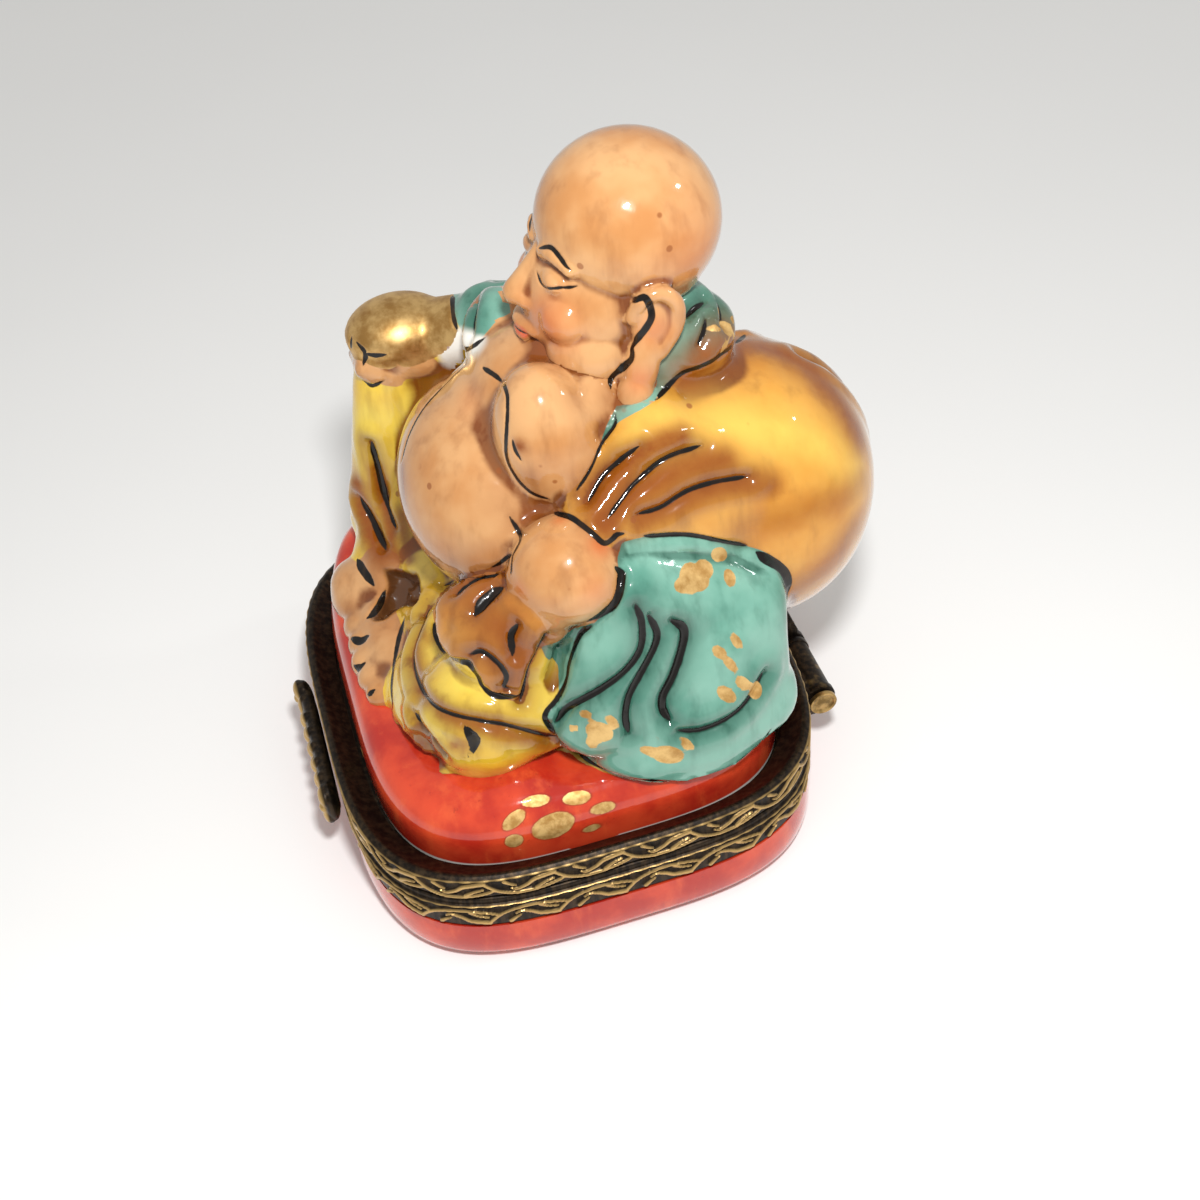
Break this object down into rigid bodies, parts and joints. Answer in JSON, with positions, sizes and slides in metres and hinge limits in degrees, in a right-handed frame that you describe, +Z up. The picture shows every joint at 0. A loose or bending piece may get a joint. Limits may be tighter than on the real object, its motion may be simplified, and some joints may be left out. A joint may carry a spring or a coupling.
{
  "type": "buddha figurine box",
  "caption": "Seated laughing Buddha with a sack, cast as the hinged lid of a small glazed porcelain box with metal mounts and a clasp.",
  "frame": {"origin": "centre of the flat underside of the box", "axes": "+Z up, -Y to the front that the figure faces, X across the figure"},
  "size_m": [0.046, 0.0518, 0.0613],
  "materials": {
    "red_porcelain": "glossy red glaze",
    "painted_porcelain": "hand painted under a glossy glaze",
    "aged_brass": "embossed, darkened in the hollows",
    "pin_brass": "worn"
  },
  "bodies": {
    "box": {"box_base": "red_porcelain", "lower_mount": "aged_brass", "hinge_pin": "pin_brass"},
    "lid": {"lid_figure": "painted_porcelain", "upper_mount": "aged_brass", "clasp": "aged_brass"}
  },
  "joints": [
    {"name": "lid_hinge", "type": "hinge", "parent": "box", "child": "lid", "pos_m": [0, 0.02265, 0.0077], "axis": [-1, 0, 0], "range_deg": [0, 90]}
  ]
}
